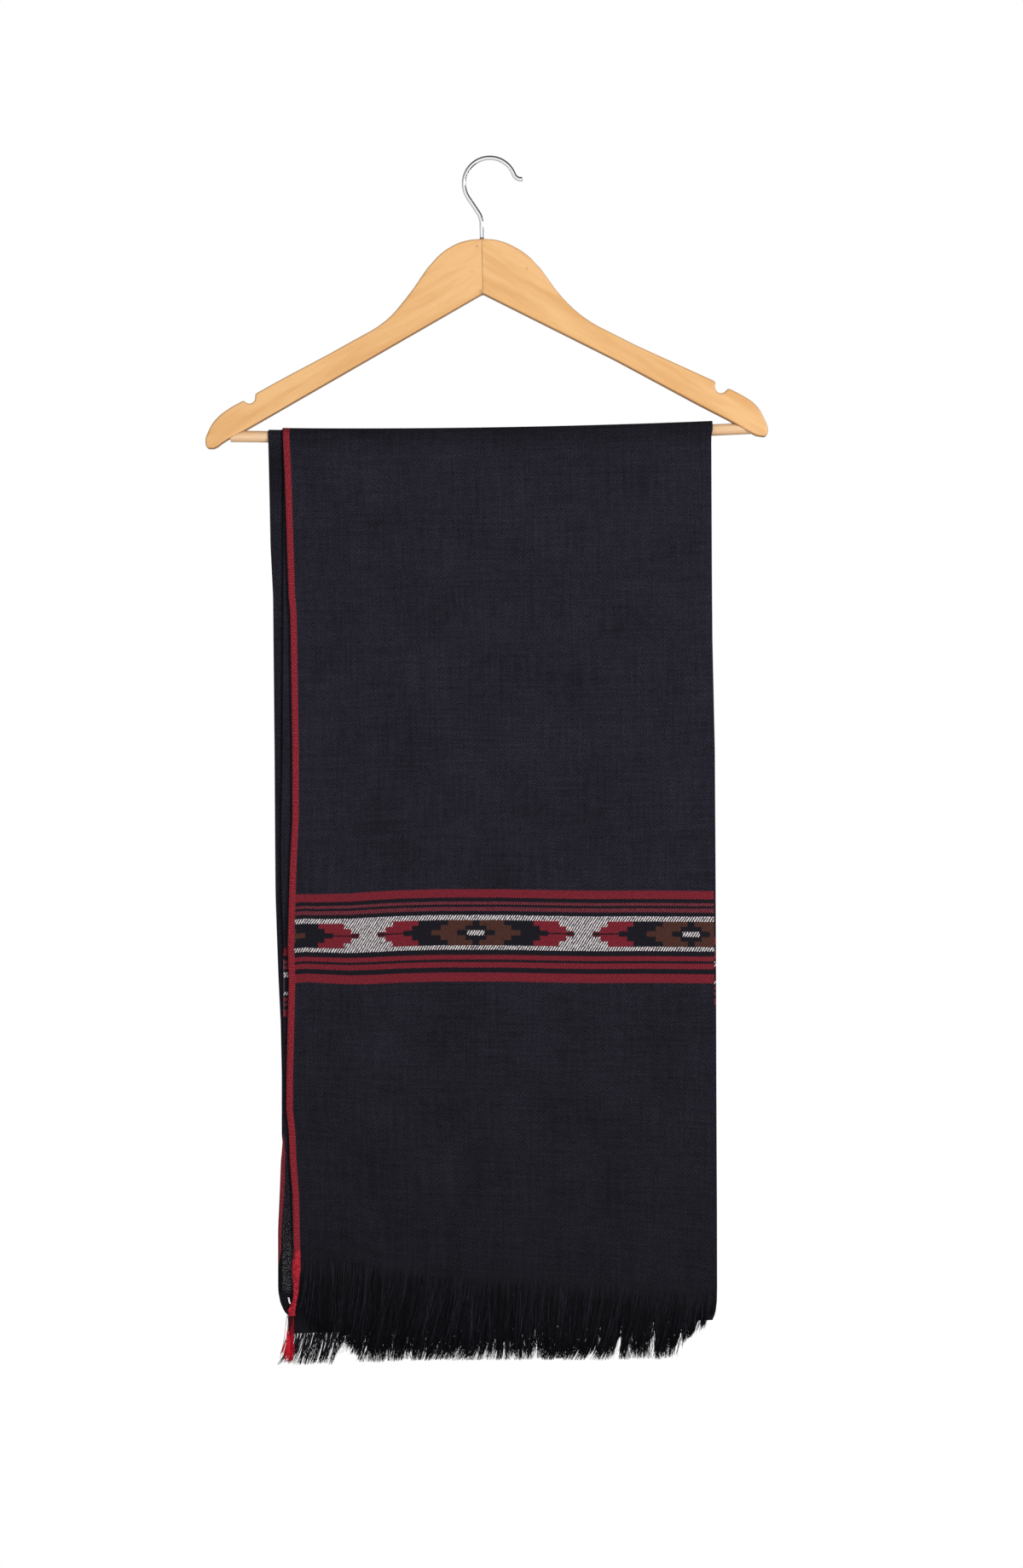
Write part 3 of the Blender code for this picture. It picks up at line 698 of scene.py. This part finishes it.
border_top = (BORDER_BASE + BORDER_TALL) / MM
twill = woven("dark_twill", (33, 32, 41), (23, 22, 28), SELVEDGE_WIDE, border_top, STRIPES, UV_WIDTH)[0]
COLUMNS = 66
FRONT_ROWS, TURN_ROWS, BACK_ROWS, FOOT_ROWS = 132, 14, 128, 10
LEAF_ROWS = FRONT_ROWS + TURN_ROWS + BACK_ROWS + FOOT_ROWS
RETURN_COLUMNS, RETURN_BEND = 5, 3
RETURN_RADIUS = 0.22 * MM


def along_outer(row):
    """Part of the outer layer's run, the level in it, and the length of cloth from the hem."""
    if row <= FRONT_ROWS:
        run = DROP_LONG * row / FRONT_ROWS
        return "front", run, run
    row -= FRONT_ROWS
    over = math.pi * OUTER_RADIUS
    if row <= TURN_ROWS:
        return "turn", row / TURN_ROWS, DROP_LONG + over * row / TURN_ROWS
    row -= TURN_ROWS
    start = DROP_LONG + over
    if row <= BACK_ROWS:
        return "back", row / BACK_ROWS, start + (BACK_DOWN - BAR_DOWN) * row / BACK_ROWS
    level = (row - BACK_ROWS) / FOOT_ROWS * 1.6
    return "foot", level, start + BACK_DOWN - BAR_DOWN + level * math.pi * FOLD_RADIUS


def outer_place(column, row):
    """The outer layer's points: flat to the right fold, and then a short return behind it."""
    part, level, run = along_outer(row)
    flat_columns = COLUMNS - RETURN_COLUMNS
    share = min(column, flat_columns) / flat_columns
    share = share ** 1.25 if share < 1 else 1.0
    spot = outer_point(share, part, level)
    width = share * QUARTER_WIDTH
    if column > flat_columns:
        step = column - flat_columns
        angle = math.pi * min(step, RETURN_BEND) / RETURN_BEND
        inward = RETURN_RADIUS * (1 - math.cos(angle))
        beyond = RETURN_RADIUS * math.sin(angle) - max(0, step - RETURN_BEND) * 2.5 * MM
        if part == "turn":
            outward = Vector((0, -math.cos(level * math.pi), math.sin(level * math.pi)))
        elif part == "foot":
            turned = min(level, 1.0) * math.pi
            outward = Vector((0, math.cos(turned), -math.sin(turned)))
        else:
            outward = Vector((0, -1 if part == "front" else 1, 0))
        spot = spot - outward * inward + Vector((beyond, 0, 0))
        width += step * 1.6 * MM
    return spot, width, run


outer = cloth_grid("shawl_outer_layer", COLUMNS, LEAF_ROWS, outer_place, twill)
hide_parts("front_leaf", "turn_leaf", "back_leaf")
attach(outer, "root")

# Folded layers under the outer one.
# The same cloth, folded lengthways behind the outer layer: its other selvedge and its folds show at
# the left and right edges. In front it reaches down to the shawl's second end.
LAYER_PITCH = 0.5 * MM
MIDDLE_RADIUS = 5.6 * MM
SECOND_EDGE = (
    (205, -165.0), (212, -165.0), (252, -164.2), (361, -164.2), (469, -164.8), (550, -166.1), (591, -165.3),
    (618, -164.0), (652, -163.3), (700, -163.5), (774, -163.6), (788, -164.6), (794, -165.3), (821, -166.3),
    (849, -167.6), (895, -167.6), (900, -167.3), (907.6, -165.8), (913, -163.6), (916.4, -161.4),
    (917.8, -159.6), (920, -157.0), (934, -156.2),
)
OUTER_EDGE = (
    (205, -175.4), (212, -175.4), (252, -174.5), (307, -173.4), (347, -171.4), (469, -170.2), (550, -169.7),
    (584, -169.4), (625, -168.0), (652, -167.0), (686, -165.3), (727, -164.4), (774, -164.4), (794, -162.6),
    (812, -152.0), (934, -148.0),
)
OUTER_EDGE_BACK = (
    (205, -175.4), (212, -175.4), (252, -174.5), (347, -171.4), (469, -169.8), (550, -168.9), (625, -167.0),
    (686, -164.3), (780, -163.4), (900, -163.8),
)
INNER_RIGHT = (
    (205, 177.0), (215, 176.8), (222, 175.0), (250, 175.2), (360, 176.2), (470, 178.6), (550, 179.1),
    (625, 179.5), (727, 179.8), (775, 180.0), (840, 180.3), (896, 180.4), (907, 180.2), (914, 179.4),
    (918, 178.4), (920, 177.4), (934, 172.4),
)
SECOND_HEM = ((-168, 932.5), (-98, 931.0), (-10, 928.6), (85, 925.2), (181, 921.6))
SECOND_RUN = 707 * MM
TURN_RUN = 18 * MM
BACK_RUN = 670 * MM
INNER_FOLD_UP = 0.6 * MM

# Columns: the second layer with a fine left edge, a hairpin, the next layer back, a hairpin, the last.
FINE, BROAD, HAIRPIN = 16, 22, 4
SECOND_COLUMNS = FINE + BROAD
FOLDED_COLUMNS = SECOND_COLUMNS + 2 * (BROAD + HAIRPIN)
FINE_WIDE = 18 * MM
FOLD_STEP = 1.5 * MM


def folded_column(column, edges):
    """Across, outward from the middle layer, and the flat distance from the selvedge, for a column."""
    second, outer_left, right_edge = edges
    wide = right_edge - second
    if column <= FINE:
        run = FINE_WIDE * column / FINE
        return second + run, LAYER_PITCH, run
    if column <= SECOND_COLUMNS:
        run = FINE_WIDE + (wide - FINE_WIDE) * (column - FINE) / BROAD
        return second + run, LAYER_PITCH, run
    column -= SECOND_COLUMNS
    half = LAYER_PITCH / 2
    if column <= HAIRPIN:
        angle = math.pi * column / HAIRPIN
        return right_edge + half * math.sin(angle), half + half * math.cos(angle), wide + half * angle
    column -= HAIRPIN
    if column <= BROAD:
        run = (right_edge - outer_left) * column / BROAD
        return right_edge - run, 0.0, wide + run
    column -= BROAD
    wide += right_edge - outer_left
    if column <= HAIRPIN:
        angle = math.pi * column / HAIRPIN
        return outer_left - half * math.sin(angle), -half + half * math.cos(angle), wide + half * angle
    column -= HAIRPIN
    run = (right_edge - 1.0 * MM - outer_left) * column / BROAD
    return outer_left + run, -LAYER_PITCH, wide + run


FOLDED_FRONT, FOLDED_TURN, FOLDED_BACK = 130, 12, 84
LOWER_ROWS = 36
LOWER_LEVEL = 0.085
FOLDED_ROWS = FOLDED_FRONT + FOLDED_TURN + FOLDED_BACK


def folded_place(column, row):
    """A point of the folded layers, which keep to the outer layer's swing."""
    if row <= FOLDED_FRONT:
        part, level = "front", float(np.interp(row, (0, LOWER_ROWS, FOLDED_FRONT), (0, LOWER_LEVEL, 1)))
    elif row <= FOLDED_FRONT + FOLDED_TURN:
        part, level = "turn", (row - FOLDED_FRONT) / FOLDED_TURN
    else:
        part, level = "back", (row - FOLDED_FRONT - FOLDED_TURN) / FOLDED_BACK
    x = 0.0
    for _ in range(4):
        if part == "front":
            low = read(SECOND_HEM, x)
            down = low + (bar_middle(x) - low) * level
        elif part == "turn":
            down = bar_middle(x)
        else:
            low = BACK_DOWN - x * math.tan(TILT) - INNER_FOLD_UP
            down = bar_middle(x) + (low - bar_middle(x)) * level
        left_table = OUTER_EDGE if part == "front" else OUTER_EDGE_BACK
        second = read(SECOND_EDGE, min(down, 0.89) if part == "back" else down)
        x, out, across = folded_column(column, (second, read(left_table, down), read(INNER_RIGHT, down)))
    behind = max(0.0, min(1.0, (second + 2 * MM - x) / (4 * MM))) if column > SECOND_COLUMNS else 0.0
    out -= FOLD_STEP * behind * min(1.0, abs(down - bar_middle(x)) / (60 * MM))
    radius = MIDDLE_RADIUS + out
    if part == "front":
        return hanging(x, down, -1, radius), across, SECOND_RUN * level
    if part == "turn":
        return over_bar(x, level * math.pi, radius), across, SECOND_RUN + level * TURN_RUN
    return hanging(x, down, 1, radius), across, SECOND_RUN + TURN_RUN + level * BACK_RUN


# The second end's border is pulled narrow where it shows beside the outer selvedge, mm from its top.
NARROWED = (
    (5.7, "red"), (9.5, "black"), (12.2, "thin red"), (13.3, "black"), (16.6, "thin red"), (19.0, "black"),
    (22.8, "white"), (34.4, "black"), (37.0, "white"), (39.0, "black"), (41.8, "red"), (43.2, "black"),
    (45.6, "thin red"), (48.6, "black"), (53.9, "red"),
)
NARROWED_TOP = 303.7
FOLDED_WIDTH = 1.1
inner_twill, surface, tree, colour, across, along, speckle = woven(
    "inner_twill", (32, 31, 40), (27, 26, 33), 0.0, NARROWED_TOP, NARROWED, FOLDED_WIDTH,
)
# Its own red selvedge turns into view near the lower end, ragged and at most 4 mm wide.
red_wide = ramp(tree, maths(tree, "DIVIDE", along, 200), grey_stops(
    (0.25, 0.0), (0.33, 0.5), (0.6, 0.75), (0.71, 0.6), (0.8, 0.0),
))
red_wide = maths(tree, "MULTIPLY", red_wide, 5.0)
ragged = maths(tree, "ADD", across, centred(tree, speckle, 2.2))
red_edge = maths(tree, "LESS_THAN", ragged, red_wide)
edge_reds = [(0.32, srgb(76, 20, 30)), (0.52, srgb(118, 36, 46)), (0.7, srgb(140, 62, 70))]
colour = blend(tree, red_edge, colour, ramp(tree, speckle, edge_reds))
# The very edge gets a painted highlight beside the narrowed border, and a painted shadow line above it.
painted_edge_highlight = maths(tree, "MULTIPLY", maths(tree, "LESS_THAN", across, 0.75), between(tree, along, 250, 295))
colour = blend(tree, maths(tree, "MULTIPLY", painted_edge_highlight, 0.3), colour, srgb(150, 122, 130))
painted_edge_shadow = maths(tree, "GREATER_THAN", along, 300)
painted_edge_shadow = maths(tree, "MULTIPLY", painted_edge_shadow, maths(tree, "LESS_THAN", across, 0.8))
colour = blend(tree, painted_edge_shadow, colour, srgb(8, 8, 10))
# Near its end the single layer is loose and dark like a net, and lets specks of light through.
loose = maths(tree, "MULTIPLY", mapped(tree, along, 150.0, 60.0), maths(tree, "GREATER_THAN", along, 32))
net = maths(tree, "MULTIPLY", loose, maths(tree, "SUBTRACT", 1, red_edge))
net = maths(tree, "MULTIPLY", net, maths(tree, "LESS_THAN", across, 16.0))
colour = blend(tree, net, colour, srgb(12, 12, 15))
pinholes = noise(tree, node(tree, "CombineXYZ", {0: across, 1: along}).outputs[0], 1.9, 1.0)
sparkle = maths(tree, "GREATER_THAN", pinholes, maths(tree, "MULTIPLY_ADD", loose, -0.06, 0.7))
sparkle = maths(tree, "MULTIPLY", sparkle, between(tree, across, 3.6, 14.0))
colour = blend(tree, maths(tree, "MULTIPLY", sparkle, loose), colour, srgb(158, 157, 162))
# Its lower end is painted darker, as shade between the two fringes.
lower_end_shade = maths(tree, "MULTIPLY", maths(tree, "LESS_THAN", along, 34), 0.5)
colour = blend(tree, lower_end_shade, colour, srgb(8, 8, 11))
tree.links.new(colour, surface.inputs["Base Color"])
# A small opening beside the tongue: mm across and down, and half its size.
GAP_PLACE = (-158.8, 905.8)
GAP_HALF = (0.95, 2.6)


def white_gap(spot):
    """Whether a face lies in the opening, above the curled corner of the second layer."""
    across = (spot.x / MM - GAP_PLACE[0]) / GAP_HALF[0]
    down = (-spot.z / MM - GAP_PLACE[1]) / GAP_HALF[1]
    return spot.y < 0 and across ** 2 + down ** 2 < 1


folded = cloth_grid(
    "shawl_folded_layers", FOLDED_COLUMNS, FOLDED_ROWS, folded_place, inner_twill, FOLDED_WIDTH, white_gap,
)
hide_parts("front_folds", "turn_folds", "back_folds")
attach(folded, "root")

# Fringes.
# At each end the warp is left unwoven: thousands of fine dark threads in loose uneven locks.
# The outer end's fringe hangs in front of the second end's, which shows below it.
THREAD = 0.17 * MM
FRONT_FRINGE = (
    (-165, 44), (-152, 46), (-143, 48), (-136, 58), (-118, 62), (-112, 65), (-98, 67), (-87, 62), (-42, 59),
    (-10, 56), (54, 52), (117, 49), (153, 44), (166, 28), (172, 20), (178, 11),
)
SECOND_FRINGE = (
    (-168, 25), (-119, 25), (-113, 6), (-104, 17), (-96, 25), (-70, 24), (-10, 25), (85, 28), (110, 29),
    (140, 29), (153, 28), (160, 15), (171, 8), (181, 4),
)
# White partings in the lower edge: mm across and down at the top, mm wide, mm to its lower end.
PARTINGS = (
    (102, 938, 4, 14), (130, 931, 4, 14), (151, 934, 5, 22), (165, 924, 5, 14), (37, 944, 3, 10),
    (-62, 945, 2, 10),
)


def parted(x, down):
    """Whether a point lies in one of the partings, which slant down to the left."""
    for left, top, wide, tall in PARTINGS:
        below = down / MM - top
        shifted = left - 0.32 * below
        if 0 < below < tall and shifted < x / MM < shifted + wide * min(1.0, 0.4 + below / tall):
            return True
    return False


def fringe_lines(seed, row, hem, lengths, radius, lock, slant, lift=0.0):
    """Threads from a hem: locks that sway together, each thread with a little life of its own.

    A lock is its number of threads, their spread in mm, how much shorter some are, and points a thread.
    """
    rng = random.Random(seed)
    lines, shades = [], []
    left, right, locks = row
    threads, spread, thin, points = lock
    for number in range(locks):
        middle = left + (right - left) * (number + rng.uniform(-0.35, 0.35)) / (locks - 1)
        lock_lean = slant(middle) + rng.gauss(0, 0.05)
        lock_curl = rng.gauss(0, 0.9) * MM
        lock_phase = rng.uniform(0, math.tau)
        lock_out = rng.uniform(-0.35, 0.45) * MM
        lock_length = rng.uniform(0.95, 1.03)
        lock_shade = rng.choice((0.4, 0.8, 1.2))
        for _ in range(threads):
            shade = min(3, max(0, round(lock_shade + rng.gauss(0, 1.0))))
            own = rng.uniform(0, math.tau)
            stray = rng.random() < 0.14
            start = middle + rng.gauss(0, spread) * MM
            uneven = 2.2 + 1.6 * math.sin(start * 74 + 1) + 1.2 * math.sin(start * 190)
            root = read(hem, start) - (uneven + rng.uniform(-2.0, 6.0)) * MM
            length = read(lengths, start) * lock_length * (1 - thin * rng.random() ** 2)
            length += read(hem, start) - root
            lean = lock_lean + rng.gauss(0, 0.035)
            out = lock_out + rng.uniform(-0.3, 0.35) * MM
            line = []
            for step in range(points):
                go = step / (points - 1)
                down = root + length * go
                bow = lock_curl * math.sin(lock_phase + go * 4.2) * go
                bow += 0.35 * MM * math.sin(own + go * 7) * go
                x = start + lean * length * go * (0.55 + 0.45 * go) + bow
                if parted(x, down) and not stray:
                    break
                rise = lift * math.sin(math.pi * min(1, go * 3) / 2)
                spot = hanging(x, down, -1, radius + rise + out * go)
                line.append((*spot, THREAD * (1.0 - 0.45 * go ** 3)))
            if len(line) > 2:
                lines.append(line)
                shades.append(shade)
    return lines, shades


def thread_look(name, dark, light, hem):
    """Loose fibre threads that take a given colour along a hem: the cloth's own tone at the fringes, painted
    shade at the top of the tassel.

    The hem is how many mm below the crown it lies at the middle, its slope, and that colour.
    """
    level, slope, root_tone_and_shade = hem
    made, surface, tree = finish(name, 0.72)
    place = solid_place(tree)
    shades = noise(tree, stretched(tree, place, (1100, 1100, 45)), 1.0)
    colour = ramp(tree, shades, [(0.34, srgb(*dark)), (0.68, srgb(*light))])
    across, _, up = node(tree, "SeparateXYZ", {0: place}).outputs
    below = maths(tree, "MULTIPLY_ADD", across, -slope, maths(tree, "MULTIPLY", up, -1))
    below = maths(tree, "ADD", below, centred(tree, shades, 0.05))
    at_hem = mapped(tree, below, (level + 10) * MM, (level - 3) * MM)
    colour = blend(tree, at_hem, colour, srgb(*root_tone_and_shade))
    tree.links.new(colour, surface.inputs["Base Color"])
    surface.inputs["Specular IOR Level"].default_value = 0.12
    return made


HEM_LINE = (888, 0.0968, (26, 25, 32))
# The four looks are lit and shaded copies of one dark thread: painted highlights on the pale threads, painted
# shade on the black ones.
FRINGE_SHADES = (
    ("black", (3, 3, 6), (8, 8, 12)), ("dark", (7, 6, 11), (15, 14, 21)),
    ("grey", (15, 14, 22), (29, 28, 38)), ("pale", (32, 31, 42), (56, 54, 67)),
)
fringe_looks = [thread_look("fringe_" + name, dark, light, HEM_LINE) for name, dark, light in FRINGE_SHADES]
front_lines, front_shades = fringe_lines(
    4, (-151 * MM, 177.5 * MM, 215), FRONT_HEM, FRONT_FRINGE, OUTER_RADIUS,
    (15, 0.9, 0.3, 7), lambda x: -0.15 + 0.09 * math.sin(x * 38), 0.35 * MM,
)
front_fringe = drawn_tubes("front_fringe_threads", front_lines, 0, fringe_looks, front_shades)
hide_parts("front_fringe")
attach(front_fringe, "root")

# The left end of the second fringe hangs in separate thin locks; the rest is dense.
thin_lines, thin_shades = fringe_lines(
    11, (-153.5 * MM, -115 * MM, 23), SECOND_HEM, SECOND_FRINGE, MIDDLE_RADIUS,
    (14, 0.5, 0.2, 7), lambda x: -0.26,
)
second_lines, second_shades = fringe_lines(
    9, (-114 * MM, 172 * MM, 150), SECOND_HEM, SECOND_FRINGE, MIDDLE_RADIUS,
    (28, 1.1, 0.35, 5), lambda x: -0.2 + 0.16 * math.sin(x * 61),
)
second_fringe = drawn_tubes(
    "second_fringe_threads", thin_lines + second_lines, 0, fringe_looks, thin_shades + second_shades,
)
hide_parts("second_fringe")
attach(second_fringe, "root")

# Corner tassel.
# The red selvedge runs on below the hem as a narrow tongue, turned back once on itself, and ends in a
# tassel of its own warp threads.
TONGUE = (
    (866, -155.5, -149.8), (880.5, -156.4, -149.6), (889, -155.8, -150.5), (898, -155.3, -151.1),
    (906, -155.9, -152.3), (913, -159.6, -153.8), (918.2, -159.4, -153.6),
)
TONGUE_COLUMNS, TONGUE_ROWS = 6, 26
FLAP_COLUMNS, FLAP_ROWS = 4, 8
FLAP_LEFT, FLAP_LOW = -160.4, 913.5
FLAP_WIDE, FLAP_RISE = 6.4, 6.0
TASSEL_MIDDLE = -157.4 * MM
TASSEL_TOP = 916.5 * MM
TASSEL_THREADS = 110
TASSEL_THREAD = 0.19 * MM

tongue_look, surface, tree = finish("red_selvedge", 0.85)
ribs = noise(tree, stretched(tree, solid_place(tree), (900, 300, 700)), 1.0)
red = ramp(tree, ribs, [(0.32, srgb(122, 20, 32)), (0.55, srgb(174, 38, 52)), (0.74, srgb(194, 58, 72))])
tree.links.new(red, surface.inputs["Base Color"])
surface.inputs["Specular IOR Level"].default_value = 0.1
raised(tree, surface, ribs, 0.0002, 0.6)


def tongue_place(column, row):
    """A point of the tongue, which is a little fuller along its middle."""
    levels, lefts, rights = zip(*TONGUE)
    level = levels[0] + (levels[-1] - levels[0]) * row / TONGUE_ROWS
    left, right = (float(np.interp(level, levels, edge)) * MM for edge in (lefts, rights))
    share = column / TONGUE_COLUMNS
    puff = 0.25 * MM * math.sin(math.pi * share)
    spot = hanging(left + (right - left) * share, level * MM, -1, OUTER_RADIUS + 0.45 * MM + puff)
    return spot, column * MM, level * MM


def flap_place(column, row):
    """The turned-back fold of the tongue: a short band that crosses it upwards to the right."""
    go = row / FLAP_ROWS
    share = column / FLAP_COLUMNS
    x = (FLAP_LEFT + FLAP_WIDE * go + 1.4 * share) * MM
    down = (FLAP_LOW - FLAP_RISE * go + (2.6 - 1.2 * go) * share) * MM
    puff = 0.5 * MM * math.sin(math.pi * go)
    return hanging(x, down, -1, OUTER_RADIUS + 1.0 * MM + puff), column * MM, row * MM


tongue = cloth_grid("red_tongue", TONGUE_COLUMNS, TONGUE_ROWS, tongue_place, tongue_look)
flap = cloth_grid("red_tongue_fold", FLAP_COLUMNS, FLAP_ROWS, flap_place, tongue_look)
# The top of the tassel is painted dark red as shade under the end of the tongue.
tassel_look = thread_look("red_tassel", (160, 10, 30), (234, 40, 64), (925, 0, (52, 12, 20)))
rng = random.Random(21)
tassel_lines = []
for _ in range(TASSEL_THREADS):
    beside = rng.gauss(0, 1.0) * MM
    out = rng.uniform(-1.0, 1.2) * MM
    long = rng.uniform(30, 38.5) * MM
    swirl = rng.gauss(0, 0.5) * MM
    line = []
    for step in range(9):
        go = step / 8
        bound = 0.75 if step == 0 else 1.0
        x = TASSEL_MIDDLE + beside * (bound + 1.2 * go ** 2) + swirl * math.sin(5 * go)
        x += 0.4 * MM * math.sin(math.pi * min(1, go * 1.5)) - 2.24 * MM * go ** 2
        spot = hanging(x, TASSEL_TOP + long * go, -1, OUTER_RADIUS + 0.3 * MM + out * go)
        line.append((*spot, TASSEL_THREAD))
    tassel_lines.append(line)
tassel = drawn_tubes("red_tassel_threads", tassel_lines, 0, [tassel_look])
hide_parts("corner_tassel")
for piece in (tongue, flap, tassel):
    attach(piece, "root")
